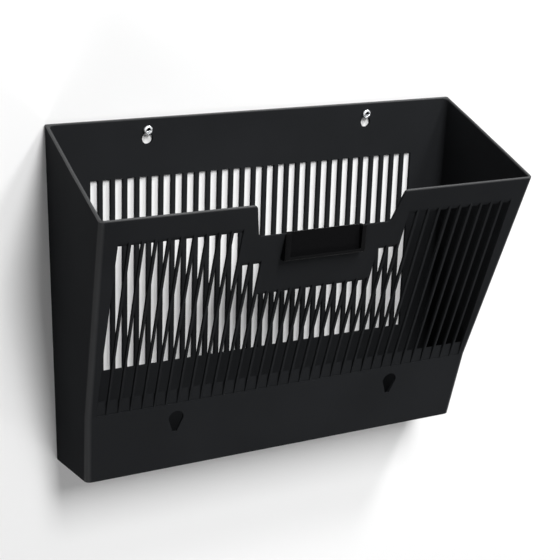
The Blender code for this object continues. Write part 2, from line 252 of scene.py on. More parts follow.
FIBRES = Pattern(700.0, 4.0, (1.0, 1.0, 4.0))
ZINC_CLOUDS = Pattern(420.0, 3.0)


@dataclass(frozen=True)
class Finish:
    """A finish whose colour varies between two shades, with patterns in its sheen and its relief."""

    name: str
    slot: str
    dark: Triple
    light: Triple
    sheen: Pair
    shading: Pattern
    streaks: Pattern
    grain: Pattern
    shade_span: Pair
    grain_strength: float
    grain_depth: float
    specular: float = 0.5
    metallic: float = 0.0

    def build(self) -> bpy.types.Material:
        """Make the material.

        Returns:
            The material.
        """
        material, tree, shader = new_material(self.name)
        relief = {"Height": self.grain.build(tree), "Strength": self.grain_strength,
                  "Distance": self.grain_depth}
        feed(tree, shader, {
            "Base Color": blend(tree, self.shading.build(tree), self.dark, self.light, self.shade_span),
            "Roughness": rescale(tree, self.streaks.build(tree), NOISE_SPAN, self.sheen),
            "Normal": add_node(tree, "Bump", relief).outputs["Normal"],
            "Metallic": self.metallic,
            SPECULAR: self.specular})
        return material


@dataclass(frozen=True)
class MouldedPlastic(Finish):
    """Injection-moulded plastic: even colour, a soft sheen and a fine spark-eroded grain."""

    sheen: Pair = (0.42, 0.55)
    shading: Pattern = Pattern(9.0, 3.0)
    streaks: Pattern = Pattern(30.0, 2.0, (1.0, 1.0, 0.25))
    grain: Pattern = Pattern(1900.0, 1.0)
    shade_span: Pair = (0.35, 0.68)
    grain_strength: float = 0.10
    grain_depth: float = 0.00012


@dataclass(frozen=True)
class EdgeHighlightedPlastic(MouldedPlastic):
    """A tray's plastic with painted highlights: its mirror level is raised along its rims and down its front
    corners.
    """

    # Strength and reach of the painted highlights along the rims and down the front corners.
    rim_highlight: float = 0.5
    rim_highlight_band: Pair = (0.0008, 0.0016)
    corner_highlight: float = 0.2
    corner_highlight_band: Pair = (0.0025, 0.0042)

    def line(self, tree: Tree, along: Socket, start: Pair, end: Pair) -> Socket:
        """A straight line through two points, each a place along an axis and a value."""
        slope = (end[1] - start[1]) / (end[0] - start[0])
        return figure(tree, "MULTIPLY_ADD", along, slope, start[1] - slope * start[0])

    def build(self) -> bpy.types.Material:
        """Make the material, with a higher mirror level close to the rims and the front corners, which paints
        highlights there.

        Returns:
            The material.
        """
        material, shape = super().build(), TrayShell()
        tree = material.node_tree
        place = add_node(tree, "TexCoord", {}).outputs["Object"]
        across, depth, upward = add_node(tree, "SeparateXYZ", {"Vector": place}).outputs
        height = figure(tree, "SUBTRACT", upward, TRAY_FOOT)
        back, front = shape.back_height, shape.front_height
        slope = self.line(tree, depth, (-shape.wall, back), (-shape.rim_inside, front))
        rim = figure(tree, "MAXIMUM", figure(tree, "MINIMUM", slope, back), front)
        below = figure(tree, "SUBTRACT", rim, height)
        kink = (shape.kink_height, shape.kink_depth)
        band = self.line(tree, height, (0.0, shape.foot_depth), kink)
        panel = self.line(tree, height, kink, (front, shape.rim_depth))
        inward = figure(tree, "ADD", figure(tree, "MAXIMUM", band, panel), depth)
        half = self.line(tree, height, (0.0, shape.front_half(0.0)), (front, shape.front_half(front)))
        sideways = figure(tree, "SUBTRACT", half, figure(tree, "ABSOLUTE", across))
        corner = figure(tree, "ADD", inward, sideways)
        # The raised mirror level along the rims and the front corners is a painted highlight.
        painted_highlight = figure(tree, "ADD", rescale(tree, below, self.rim_highlight_band, (self.rim_highlight, 0.0)),
                       rescale(tree, corner, self.corner_highlight_band, (self.corner_highlight, 0.0)))
        feed(tree, tree.nodes["Principled BSDF"], {SPECULAR: figure(tree, "ADD", painted_highlight, self.specular)})
        return material


@dataclass(frozen=True)
class PaperCard(Finish):
    """Paperboard: matte, with short fibres in it."""

    sheen: Pair = (0.62, 0.78)
    shading: Pattern = FIBRES
    streaks: Pattern = FIBRES
    grain: Pattern = FIBRES
    shade_span: Pair = (0.40, 0.64)
    grain_strength: float = 0.30
    grain_depth: float = 0.0001
    specular: float = 0.02


@dataclass(frozen=True)
class PlatedSteel(Finish):
    """Zinc-plated steel: bright, a little cloudy, with fine turning marks."""

    sheen: Pair = (0.22, 0.38)
    shading: Pattern = ZINC_CLOUDS
    streaks: Pattern = ZINC_CLOUDS
    grain: Pattern = Pattern(300.0, 2.0, (1.0, 14.0, 1.0))
    shade_span: Pair = (0.35, 0.65)
    grain_strength: float = 0.15
    grain_depth: float = 0.00008
    metallic: float = 1.0


# The tray's plastic, with painted highlights along its rims and front corners.
TRAY_BLACK = EdgeHighlightedPlastic("black_polystyrene", "tray_plastic", (0.0136, 0.0143, 0.0155),
                            (0.0168, 0.0177, 0.0192), (0.50, 0.56), specular=0.005)
# The holder's colour is darker than the tray's plastic: painted shade of the recessed holder.
HOLDER_PAINTED_SHADE_BLACK = MouldedPlastic("holder_polystyrene_painted_shade", "tray_plastic", (0.0034, 0.0035, 0.0038),
                              (0.0044, 0.0045, 0.0049), (0.20, 0.26), grain_strength=0.06, specular=0.05)
PLUG_GREY = MouldedPlastic("grey_nylon", "plug_nylon", (0.41, 0.42, 0.43), (0.50, 0.51, 0.52))
# The card's near-black colour is painted shade of the holder's recess.
CARD_PAINTED_SHADE = PaperCard("charcoal_card", "card", (0.0026, 0.0026, 0.0029), (0.0044, 0.0044, 0.0048))
SCREW_ZINC = PlatedSteel("zinc_plate", "screw_steel", (0.62, 0.64, 0.67), (0.78, 0.79, 0.80))


@contextmanager
def chosen(*pieces: Piece) -> Iterator[None]:
    """Select some pieces and nothing else, with the first of them active.

    Args:
        pieces: The pieces to work on.
    """
    bpy.ops.object.select_all(action="DESELECT")
    for piece in pieces:
        piece.select_set(True)
    bpy.context.view_layer.objects.active = pieces[0]
    yield
    pieces[0].select_set(False)


@contextmanager
def editing(piece: Piece, part: Part = Part.POINT, test: Test | None = None) -> Iterator[None]:
    """Work on a piece in edit mode, with all of it selected, or only what passes a test.

    Args:
        piece: The piece to work on.
        part: The parts of its mesh that are selected.
        test: Which of them are selected.
    """
    with chosen(piece):
        bpy.ops.object.mode_set(mode="EDIT")
        bpy.ops.mesh.select_mode(type=part.value)
        bpy.ops.mesh.select_all(action="DESELECT" if test else "SELECT")
        if test:
            part.select(piece, test)
        yield
        bpy.ops.object.mode_set(mode="OBJECT")


def shift(piece: Piece, test: PointTest, offset: Triple) -> None:
    """Move the points that pass a test by an offset."""
    with editing(piece, Part.POINT, test):
        bpy.ops.transform.translate(value=offset)


def stretch(piece: Piece, test: PointTest, factors: Triple, centre: Vector) -> None:
    """Scale the points that pass a test along each axis, about a centre."""
    with editing(piece, Part.POINT, test):
        bpy.ops.transform.resize(value=factors, center_override=centre)


def slice_at(piece: Piece, point: Triple, normal: Triple) -> None:
    """Cut a ring of edges round a piece, where the plane through a point meets it."""
    with editing(piece):
        bpy.ops.mesh.bisect(plane_co=point, plane_no=normal)


def round_edges(piece: Piece, test: EdgeTest, radius: float, steps: int) -> None:
    """Round the edges that pass a test to a radius, in a number of steps."""
    with editing(piece, Part.EDGE, test):
        bpy.ops.mesh.bevel(offset=radius, segments=steps, affect="EDGES", clamp_overlap=False)


def settle(piece: Piece) -> Piece:
    """Put a piece's place into its mesh, and its object at the origin.

    Args:
        piece: The piece.

    Returns:
        The same piece.
    """
    with chosen(piece):
        bpy.ops.object.transform_apply(location=True, rotation=True, scale=True)
    return piece


def take_new(name: str) -> Piece:
    """Name the primitive that was just added, and settle it.

    Args:
        name: The piece's name.

    Returns:
        The new piece.
    """
    piece = bpy.context.active_object
    piece.name = piece.data.name = name
    return settle(piece)


def add_block(name: str, low: Triple, high: Triple) -> Piece:
    """Add a box to shape further.

    Args:
        name: The piece's name.
        low: Its lowest corner.
        high: Its highest corner.

    Returns:
        The new piece.
    """
    size = Vector(high) - Vector(low)
    bpy.ops.object.select_all(action="DESELECT")
    bpy.ops.mesh.primitive_cube_add(size=1, location=(Vector(low) + Vector(high)) / 2, scale=size)
    return take_new(name)


def add_rod(name: str, centre: Pair, radius: float, start: float, end: float, sides: int = 32) -> Piece:
    """Add a round bar square to the wall, to shape further.

    Args:
        name: The piece's name.
        centre: Its axis, across and up.
        radius: Its radius.
        start: Where it starts along Y.
        end: Where it ends along Y.
        sides: How many sides it has.

    Returns:
        The new piece.
    """
    bpy.ops.object.select_all(action="DESELECT")
    bpy.ops.mesh.primitive_cylinder_add(
        vertices=sides, radius=radius, depth=abs(end - start),
        location=(centre[0], (start + end) / 2, centre[1]), rotation=(math.pi / 2, 0, 0))
    return take_new(name)


def copy_of(piece: Piece, across: float) -> Piece:
    """Copy a piece with its own mesh, and move the copy across.

    Args:
        piece: The piece to copy.
        across: Where the copy goes along X.

    Returns:
        The copy.
    """
    twin = piece.copy()
    twin.data = piece.data.copy()
    bpy.context.scene.collection.objects.link(twin)
    twin.location.x = across
    return settle(twin)


def joined(pieces: list[Piece]) -> Piece:
    """Join several pieces into the first of them.

    Args:
        pieces: The pieces to join.

    Returns:
        The first piece, which now holds them all.
    """
    with chosen(*pieces):
        bpy.ops.object.join()
    return pieces[0]


def modify(piece: Piece, kind: str, **settings: object) -> None:
    """Put a modifier on a piece and apply it.

    Args:
        piece: The piece to shape.
        kind: The modifier's type.
        settings: Its settings.
    """
    modifier = piece.modifiers.new(kind.lower(), kind)
    for name, value in settings.items():
        setattr(modifier, name, value)
    with chosen(piece):
        bpy.ops.object.modifier_apply(modifier=modifier.name)


def combine(piece: Piece, tool: Piece, operation: str = "DIFFERENCE") -> None:
    """Cut a tool's shape out of a piece or weld it on, and remove the tool."""
    modify(piece, "BOOLEAN", operation=operation, object=tool, solver="EXACT")
    bpy.data.objects.remove(tool, do_unlink=True)


def clear_slivers(piece: Piece) -> None:
    """Merge points that a cut left side by side, and close the slits between them.

    Args:
        piece: The piece that was cut.
    """
    with editing(piece):
        bpy.ops.mesh.remove_doubles(threshold=SLIVER)
        bpy.ops.mesh.select_all(action="SELECT")
        bpy.ops.mesh.dissolve_degenerate(threshold=SLIVER)
        bpy.ops.mesh.select_all(action="SELECT")
        bpy.ops.mesh.fill_holes(sides=6)


def soften(piece: Piece, width: float, steps: int = 2) -> None:
    """Break a piece's sharp edges, and shade it smooth between those that stay.

    Args:
        piece: The piece to finish.
        width: Width of the broken edge.
        steps: How many faces it has.
    """
    modify(piece, "BEVEL", width=width, segments=steps, limit_method="ANGLE", angle_limit=SMOOTH_ANGLE,
           use_clamp_overlap=False)
    with chosen(piece):
        bpy.ops.object.shade_smooth_by_angle(angle=SMOOTH_ANGLE)
    modify(piece, "WEIGHTED_NORMAL", keep_sharp=True, weight=80)


def dress(piece: Piece, finish: Finish, body: Body, node: str) -> Piece:
    """Give a piece its finish and its body, and hide the plain solid that it replaces.

    Args:
        piece: The finished piece.
        finish: What it is made of.
        body: The body it rides on.
        node: The plain solid that it replaces.

    Returns:
        The same piece.
    """
    piece.data.materials.clear()
    piece.data.materials.append(bpy.data.materials.get(finish.name) or finish.build())
    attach(piece, body.value)
    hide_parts(node)
    return piece


def near_place(depth: float, height: float) -> PointTest:
    """Make the test for points at a depth and a height."""
    return lambda point: abs(point.y + depth) < GAP and abs(point.z - height) < GAP


def level_at(height: float, reach: float) -> EdgeTest:
    """Make the test for edges that lie level at a height, to within a reach."""
    return lambda one, other: max(abs(one.z - height), abs(other.z - height)) < reach


def is_end_face(centre: Vector, normal: Vector) -> bool:
    """Whether a face looks into the wall."""
    return normal.y > FACING


@dataclass
class TrayShell:
    """The moulding: a pocket flared towards the front, with a kinked front and two grilles.

    Its heights are measured up from the underside of its floor while it is made.
    """

    back_width_top: float = 0.3606
    back_width_foot: float = 0.3490
    back_height: float = 0.2718
    front_width_top: float = 0.3692
    front_width_foot: float = 0.3385
    front_height: float = 0.2282
    rim_depth: float = 0.1202
    kink_depth: float = 0.0632
    kink_height: float = 0.0594
    foot_depth: float = 0.0513
    wall: float = 0.0024
    floor: float = 0.0026
    front_corner: float = 0.0042
    back_corner: float = 0.0010
    inner_back_corner: float = 0.0045
    foot_edge: float = 0.0008
    floor_fillet: float = 0.0014
    kink_round: float = 0.0012
    rim_round: float = 0.0008
    soft_edge: float = 0.00035
    side_sections: int = 8
    spare_height: float = 0.0040

    slot_pitch: float = 0.0100
    bar_width: float = 0.0019
    centre_slots: int = 10
    step_slots: int = 2
    side_slots: int = 10
    slot_foot: float = 0.0600
    slot_ledge: float = 0.0009
    sill_height: float = 0.0128
    ceiling_drop: float = 0.0041
    centre_top: float = 0.1542
    step_top: float = 0.1817
    side_top: float = 0.2102
    fan_share: float = 0.018

    back_slots: int = 29
    back_pitch: float = 0.01015
    back_slot_width: float = 0.0063
    back_slot_foot: float = 0.0700
    back_slot_top: float = 0.2257

    notch_top_width: float = 0.1270
    notch_foot_width: float = 0.1140
    notch_foot: float = 0.2018
    notch_foot_round: float = 0.0030
    notch_top_round: float = 0.0027

    keyhole_spacing: float = 0.1968
    hole_radius: float = 0.0044
    neck_radius: float = 0.00235
    neck_top: float = 0.2646
    hole_foot: float = 0.2513
    link_radius: float = 0.0062
    link_neck_radius: float = 0.0027
    link_top: float = 0.0526
    link_foot: float = 0.0335

    @property
    def panel_slope(self) -> float:
        """How much the upper front gains in depth as it rises by one."""
        return (self.rim_depth - self.kink_depth) / (self.front_height - self.kink_height)

    @property
    def panel_inset(self) -> float:
        """The panel's thickness, measured level."""
        return self.wall * math.hypot(1.0, self.panel_slope)

    @property
    def rim_inside(self) -> float:
        """Depth of the front's inner face at the rim."""
        return self.rim_depth - self.panel_inset

    def band_depth(self, height: float) -> float:
        """Depth of the lower band's outer plane at a height."""
        return self.foot_depth + (self.kink_depth - self.foot_depth) * height / self.kink_height

    def panel_depth(self, height: float) -> float:
        """Depth of the upper front's outer plane at a height."""
        return self.kink_depth + (height - self.kink_height) * self.panel_slope

    def depth(self, height: float) -> float:
        """Depth of the front at any height."""
        return self.band_depth(height) if height < self.kink_height else self.panel_depth(height)

    def back_half(self, height: float) -> float:
        """Half the outer width along the wall at a height."""
        share = height / self.back_height
        return (self.back_width_foot + (self.back_width_top - self.back_width_foot) * share) / 2

    def front_half(self, height: float) -> float:
        """Half the outer width along the front at a height."""
        share = height / self.front_height
        return (self.front_width_foot + (self.front_width_top - self.front_width_foot) * share) / 2

    def levels(self) -> list[float]:
        """Heights of the rings that the outer shape is drawn through, past its rims."""
        rise = (self.back_height + self.spare_height - self.kink_height) / self.side_sections
        return [0.0] + [self.kink_height + rise * step for step in range(self.side_sections + 1)]

    def ring_test(self, height: float, front: bool) -> PointTest:
        """Make the test for the points of the ring at a height, along the front or along the wall."""
        return lambda point: abs(point.z - height) < GAP and (point.y < -self.wall) == front

    def outer_shape(self) -> Piece:
        """Shape a block into the tray's outside, ring by ring.

        Returns:
            The solid outer shape.
        """
        half = self.back_width_foot / 2
        shell = add_block("tray_moulding", (-half, -self.foot_depth, 0), (half, 0, self.levels()[-1]))
        for height in self.levels()[1:-1]:
            slice_at(shell, (0, 0, height), (0, 0, 1))
        for height in self.levels():
            at_front, at_back = self.ring_test(height, True), self.ring_test(height, False)
            centre = Vector((0, 0, height))
            stretch(shell, at_front, (self.front_half(height) / half, 1, 1), centre)
            stretch(shell, at_back, (self.back_half(height) / half, 1, 1), centre)
            shift(shell, at_front, (0, self.foot_depth - self.depth(height), 0))
        return shell

    def hollow(self, shell: Piece) -> None:
        """Open the top and give the walls their thickness.

        Args:
            shell: The solid outer shape.
        """
        with editing(shell, Part.FACE, lambda centre, normal: normal.z > FACING):
            bpy.ops.mesh.delete(type="FACE")
        modify(shell, "SOLIDIFY", thickness=self.wall, offset=-1.0, use_even_offset=True)
        shift(shell, lambda point: abs(point.z - self.wall) < GAP / 3, (0, 0, self.floor - self.wall))
        with editing(shell):
            bpy.ops.mesh.dissolve_limited(angle_limit=FLAT_ANGLE)

    def corner(self, height: float, inset: float, front: bool) -> Pair:
        """Place of a corner at a height, across and in depth, an inset inside the outer faces."""
        across = self.front_half(height) if front else self.back_half(height)
        return across - inset, self.depth(height) - inset if front else inset

    def corner_test(self, inset: float, front: bool) -> EdgeTest:
        """Make the test for the upright edges of a pair of corners.

        Args:
            inset: How far inside the outer faces they stand.
            front: Whether they are the front corners.

        Returns:
            A test of an edge's two ends.
        """
        near = self.wall / 2 - GAP if inset else GAP

        def on_corner(point: Vector) -> bool:
            """Whether a point lies on one of the corners."""
            across, depth = self.corner(point.z, inset, front)
            return abs(abs(point.x) - across) < near and abs(point.y + depth) < near

        return lambda one, other: on_corner(one) and on_corner(other) and abs(one.z - other.z) > self.wall

    def round_corners(self, shell: Piece) -> None:
        """Round the upright corners, the foot, the floor's edges and the kink.

        Args:
            shell: The hollow shell.
        """
        at_kink = level_at(self.kink_height, GAP)
        outside = self.wall / 2 - self.kink_depth
        roundings = [
            (self.corner_test(self.wall, True), self.front_corner - self.wall, 6),
            (self.corner_test(self.wall, False), self.inner_back_corner, 6),
            (self.corner_test(0.0, True), self.front_corner, 8),
            (self.corner_test(0.0, False), self.back_corner, 4),
            (level_at(0.0, GAP), self.foot_edge, 4),
            (level_at(self.floor, GAP / 3), self.floor_fillet, 4),
            (lambda one, other: at_kink(one, other) and max(one.y, other.y) < outside, self.kink_round, 2)]
        for test, radius, steps in roundings:
            round_edges(shell, test, radius, steps)

    def rim_tool(self) -> Piece:
        """What is cut away above the back's rim, the sloping side rims and the front rim.

        Returns:
            The tool.
        """
        far = self.panel_depth(self.back_height) + OVERRUN
        reach = self.front_width_top / 2 + OVERRUN
        tool = add_block("rim_tool", (-reach, -far, self.front_height),
                         (reach, OVERRUN, self.back_height + OVERRUN))
        for depth in (self.rim_inside, self.wall):
            slice_at(tool, (0, -depth, 0), (0, 1, 0))
        shift(tool, lambda point: point.y > -self.wall - GAP and point.z < self.back_height,
              (0, 0, self.back_height - self.front_height))
        return tool

    def rim_height(self, depth: float) -> float:
        """Height of the rims at a depth."""
        share = min(max((depth - self.wall) / (self.rim_inside - self.wall), 0.0), 1.0)
        return self.back_height + (self.front_height - self.back_height) * share

    def round_rims(self, shell: Piece) -> None:
        """Round both edges of the rims and of the hand notch.

        Args:
            shell: The shell with its rims and its notch cut.
        """
        half = self.notch_top_width / 2 + self.notch_top_round
        inner = self.panel_depth(self.notch_foot) - self.wall * 1.5

        def in_notch(centre: Vector, normal: Vector) -> bool:
            """Whether a face is one of the hand notch's."""
            inside = abs(centre.x) < half and -centre.y > inner and centre.z > self.notch_foot - GAP
            return inside and abs(normal.y) < 1 - FACING

        def on_rim(centre: Vector, normal: Vector) -> bool:
            """Whether a face lies on top of a rim or in the hand notch."""
            on_top = centre.z > self.rim_height(-centre.y) - GAP / 2 and normal.z > FACING
            return on_top or in_notch(centre, normal)

        with editing(shell, Part.FACE, on_rim):
            bpy.ops.mesh.region_to_loop()
            bpy.ops.mesh.bevel(offset=self.rim_round, segments=3, affect="EDGES", clamp_overlap=False)

    def slot_tool(self, top: float) -> Piece:
        """One slot of the front grille: a ledge, a long sill behind it and a sloping ceiling.

        Args:
            top: Height of the slot's top.

        Returns:
            The tool.
        """
        foot, outer = self.slot_foot, self.panel_depth(top)
        ledge = self.panel_depth(foot) - self.slot_ledge
        far, near = ledge + OVERRUN, ledge - OVERRUN
        half = (self.slot_pitch - self.bar_width) / 2
        tool = add_block("slot_tool", (-half, -far, foot), (half, -near, top))
        slice_at(tool, (0, -ledge, 0), (0, 1, 0))
        sill_end = self.panel_depth(foot + self.sill_height) - self.panel_inset
        sill = Vector((sill_end - ledge, self.sill_height))
        ceiling_end = self.panel_depth(top - self.ceiling_drop) - self.panel_inset
        ceiling = Vector((ceiling_end - outer, -self.ceiling_drop))
        past_sill = Vector((ledge, foot)) + sill * (1 + OVERRUN / sill.length)
        past_ceiling = Vector((outer, top)) + ceiling * (1 + OVERRUN / ceiling.length)
        in_front = Vector((outer, top)) - ceiling * (OVERRUN / ceiling.length)
        moves = [(far, top, in_front), (ledge, top, Vector((outer, top))),
                 (near, top, past_ceiling), (near, foot, past_sill)]
        for depth, height, goal in moves:
            shift(tool, near_place(depth, height), (0, depth - goal.x, goal.y - height))
        return tool

    def slot_tops(self) -> list[float]:
        """Top of each slot, from left to right."""
        flank = [self.side_top] * self.side_slots + [self.step_top] * self.step_slots
        return flank + [self.centre_top] * self.centre_slots + flank[::-1]

    def grille_tool(self) -> Piece:
        """All the slots of the front grille, drawn together a little towards their feet.

        Returns:
            The tool.
        """
        tops = self.slot_tops()
        models = {top: self.slot_tool(top) for top in sorted(set(tops))}
        slots = [copy_of(models[top], (index - (len(tops) - 1) / 2) * self.slot_pitch)
                 for index, top in enumerate(tops)]
        for model in models.values():
            bpy.data.objects.remove(model, do_unlink=True)
        grille = joined(slots)
        heights = sorted({round(point.co.z, 5) for point in grille.data.vertices})
        span = self.side_top - self.slot_foot
        for height in heights:
            factor = 1 - self.fan_share * (self.side_top - height) / span
            stretch(grille, lambda point, height=height: abs(point.z - height) < GAP / 10,
                    (factor, 1, 1), Vector((0, 0, height)))
        return grille

    def back_grille_tool(self) -> Piece:
        """All the slots of the back panel's grille.

        Returns:
            The tool.
        """
        half = self.back_slot_width / 2
        model = add_block("back_slot_tool", (-half, -OVERRUN, self.back_slot_foot),
                          (half, OVERRUN, self.back_slot_top))
        slots = [copy_of(model, (index - (self.back_slots - 1) / 2) * self.back_pitch)
                 for index in range(self.back_slots)]
        bpy.data.objects.remove(model, do_unlink=True)
        return joined(slots)

    def notch_tool(self) -> Piece:
        """The hand notch: a shallow trapezium with round lower corners.

        Returns:
            The tool.
        """
        half = self.notch_foot_width / 2
        high = self.front_height + OVERRUN
        near = self.panel_depth(self.notch_foot) - OVERRUN
        tool = add_block("notch_tool", (-half, -self.rim_depth - OVERRUN, self.notch_foot),
                         (half, -near, high))
        slope = (self.notch_top_width - self.notch_foot_width) / (self.front_height - self.notch_foot)
        top_half = half + slope * (high - self.notch_foot) / 2
        stretch(tool, lambda point: point.z > self.front_height, (top_half / half, 1, 1),
                Vector((0, 0, high)))
        foot = self.notch_foot + GAP
        round_edges(tool, lambda one, other: max(one.z, other.z) < foot and abs(one.y - other.y) > self.wall,
                    self.notch_foot_round, 8)
        return tool

    def keyhole_tool(self, name: str, upper: Pair, lower: Pair, depth: float) -> Piece:
        """A pair of holes, left and right, each drawn down from an upper circle to a lower one.

        Args:
            name: The tool's name.
            upper: Height and radius of the upper circle.
            lower: Height and radius of the lower circle.
            depth: Depth of the wall that it goes through.

        Returns:
            The tool.
        """
        tool = add_rod(name, (0, upper[0]), upper[1], -depth - OVERRUN / 2, -depth + OVERRUN / 2)
        split = upper[0] - (upper[1] - lower[1]) - GAP / 10
        share = lower[1] / upper[1]
        with editing(tool, Part.POINT, lambda point: point.z < split):
            bpy.ops.transform.resize(value=(share, 1, share), center_override=(0, 0, upper[0]))
            bpy.ops.transform.translate(value=(0, 0, lower[0] - upper[0]))
        half = self.keyhole_spacing / 2
        pair = joined([copy_of(tool, side.value * half) for side in Side])
        bpy.data.objects.remove(tool, do_unlink=True)
        return pair

    def keyhole_tools(self) -> list[Piece]:
        """The round holes and the necks of the back keyholes, and the pear-shaped front ones.

        Returns:
            The tools.
        """
        hole = self.hole_foot + self.hole_radius
        neck = self.neck_top - self.neck_radius
        wide = self.link_top - self.link_radius
        narrow = self.link_foot + self.link_neck_radius
        link_depth = self.band_depth((wide + narrow) / 2)
        back = self.keyhole_tool("hole_tool", (hole, self.hole_radius), (hole, self.hole_radius), 0)
        necks = self.keyhole_tool("neck_tool", (neck, self.neck_radius), (hole, self.neck_radius), 0)
        combine(back, necks, "UNION")
        return [back, self.keyhole_tool("link_tool", (wide, self.link_radius),
                                        (narrow, self.link_neck_radius), link_depth)]

    def cut(self, shell: Piece, tools: list[Piece]) -> None:
        """Cut several tools' shapes out of the shell, one after the other.

        Args:
            shell: The shell.
            tools: The tools, which are used up.
        """
        for tool in tools:
            combine(shell, tool)
            clear_slivers(shell)

    def build(self, seat: Piece) -> Piece:
        """Make the moulding.

        Args:
            seat: The cut-out that the label holder drops into.

        Returns:
            The finished piece.
        """
        shell = self.outer_shape()
        self.hollow(shell)
        self.round_corners(shell)
        self.cut(shell, [self.rim_tool(), self.notch_tool()])
        top_half = self.notch_top_width / 2

        def notch_shoulder(one: Vector, other: Vector) -> bool:
            """Whether an edge is one of the notch's two upper corners."""
            level = level_at(self.front_height, GAP)(one, other) and max(one.y, other.y) < -self.rim_depth / 2
            return level and max(abs(abs(end.x) - top_half) for end in (one, other)) < self.wall / 2

        round_edges(shell, notch_shoulder, self.notch_top_round, 4)
        self.round_rims(shell)
        self.cut(shell, [self.grille_tool(), self.back_grille_tool(), *self.keyhole_tools(), seat])
        soften(shell, self.soft_edge)
        top = self.back_height - GAP / 20
        stretch(shell, lambda point: point.z > top, (1, 1, 0), Vector((0, 0, top)))
        shell.location.z = TRAY_FOOT
        return dress(settle(shell), TRAY_BLACK, Body.TRAY, "tray_shell")


@dataclass
class LabelHolder:
    """The box under the notch that holds a card: open in front and at the top."""

    tray: TrayShell
    width: float = 0.0704
    drop: float = 0.0218
    proud: float = 0.0014
    draft: float = 0.0014
    window_width: float = 0.0616
    border: float = 0.0031
    recess: float = 0.0050
    wall: float = 0.0012
    card_grip: float = 0.0014
    card_thickness: float = 0.0008
    outer_round: float = 0.0011
    soft_edge: float = 0.0004
    card_edge: float = 0.00015

    @property
    def top(self) -> float:
        """Height of the holder's top."""
        return self.tray.notch_foot

    @property
    def foot(self) -> float:
        """Height of the holder's foot."""
        return self.top - self.drop

    @property
    def window_foot(self) -> float:
        """Height of the window's lower edge."""
        return self.foot + self.border

    @property
    def channel(self) -> float:
        """Half the width of the channel that the card slides in."""
        return self.window_width / 2 + self.card_grip

    @property
    def front(self) -> float:
        """Depth of the holder's front at the top."""
        return self.tray.panel_depth(self.top) + self.proud

    @property
    def floor(self) -> float:
        """Depth of the face that the card lies on."""
        return self.front - self.recess

    @property
    def card_front(self) -> float:
        """Depth of the card's front."""
        return self.floor + GAP + self.card_thickness

    def seat_tool(self) -> Piece:
        """The cut-out in the tray that the holder's body drops into.

        Returns:
            The tool.
        """
        back = self.floor - self.wall
        sill = self.tray.kink_height + (back - GAP - self.tray.kink_depth) / self.tray.panel_slope
        half = self.channel + self.wall + GAP
        return add_block("seat_tool", (-half, -back - OVERRUN, sill),
                         (half, -back + OVERRUN, self.top + OVERRUN))

    def face(self) -> Piece:
        """The holder's face, whose back follows the leaning panel.

        Returns:
            The face, without its window.
        """
        half, top, front = self.width / 2, self.top, -self.front
        behind = GAP * math.hypot(1.0, self.tray.panel_slope)
        lower_back = self.tray.panel_depth(self.foot) + behind
        upper_back = self.tray.panel_depth(top) + behind
        face = add_block("label_frame", (-half, front, self.foot), (half, -lower_back, top))
        middle = (self.foot + top) / 2
        shift(face, lambda point: point.z > middle and point.y > front + GAP, (0, lower_back - upper_back, 0))
        shift(face, lambda point: point.z < middle and point.y < front + GAP, (0, self.draft, 0))
        near, low = front + 2 * self.draft, self.foot + GAP
        round_edges(face, lambda one, other: max(one.y, other.y) < near and min(one.z, other.z) < low,
                    self.outer_round, 4)
        return face

    def holder(self) -> Piece:
        """Make the holder: its face, the body behind it, the window and the card's channel.

        Returns:
            The finished piece.
        """
        holder = self.face()
        window, channel = self.window_width / 2, self.channel
        body, high = channel + self.wall, self.top + OVERRUN
        inner = add_block("label_body", (-body, -self.front + 2 * self.draft, self.foot + self.outer_round),
                          (body, -self.floor + self.wall, self.top))
        combine(holder, inner, "UNION")
        combine(holder, add_block("window_tool", (-window, -self.floor - OVERRUN, self.window_foot),
                                  (window, -self.floor, high)))
        combine(holder, add_block("channel_tool", (-channel, -self.card_front - GAP,
                                                   self.window_foot - self.card_grip),
                                  (channel, -self.floor, high)))
        soften(holder, self.soft_edge)
        holder.location.z = TRAY_FOOT
        # The holder's darker colour is painted shade of its recess.
        return dress(settle(holder), HOLDER_PAINTED_SHADE_BLACK, Body.TRAY, "label_holder")

    def card(self) -> Piece:
        """Make the blank card, round at its upper corners; its near-black colour is painted shade of the
        holder's recess.

        Returns:
            The finished piece.
        """
        half, top = self.channel - GAP, self.top
        card = add_block("blank_card", (-half, -self.card_front, self.window_foot - self.card_grip + GAP),
                         (half, -(self.floor + GAP), top))
        thick = self.card_thickness / 2
        round_edges(card, lambda one, other: abs(one.y - other.y) > thick and max(one.z, other.z) > top - GAP,
                    self.card_grip, 5)
        soften(card, self.card_edge)
        card.location.z = TRAY_FOOT
        return dress(settle(card), CARD_PAINTED_SHADE, Body.CARD, "label_card")

    def build(self) -> list[Piece]:
        """Make the holder and its card."""
        return [self.holder(), self.card()]


